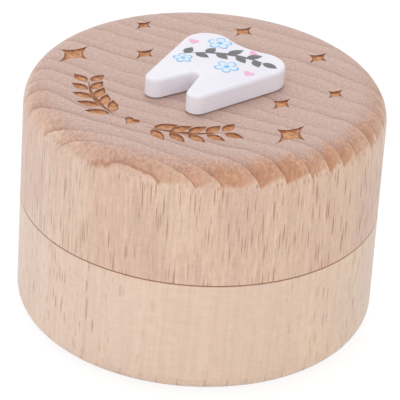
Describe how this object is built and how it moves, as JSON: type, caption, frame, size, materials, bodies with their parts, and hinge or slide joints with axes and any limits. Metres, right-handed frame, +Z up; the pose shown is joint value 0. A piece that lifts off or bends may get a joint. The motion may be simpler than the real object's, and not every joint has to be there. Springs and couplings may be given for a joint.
{
  "type": "lidded keepsake box",
  "caption": "Round turned wooden keepsake box with a push-fit lid, sparkle and leaf engraving, and a white tooth-shaped plaque on top.",
  "frame": {"origin": "centre of the foot, on the surface the box stands on", "axes": "+Z up along the turning axis; -Y is the front of the lid's design, below the tooth's roots; +X to the right of it"},
  "size_m": [0.05, 0.05, 0.038],
  "materials": {
    "base_wood": "fine sanded, unvarnished beech",
    "lid_wood": "fine sanded, unvarnished steamed beech",
    "plaque_resin": "soft gloss white resin",
    "glue": "dried clear glue"
  },
  "bodies": {
    "base": {"base": "base_wood"},
    "lid": {"lid": "lid_wood", "tooth_glue_pad": "glue", "tooth_plaque": "plaque_resin"}
  },
  "joints": [
    {"name": "lid_lift", "type": "slide", "parent": "base", "child": "lid", "axis": [0, 0, 1], "range_m": [0, 0.045]}
  ]
}
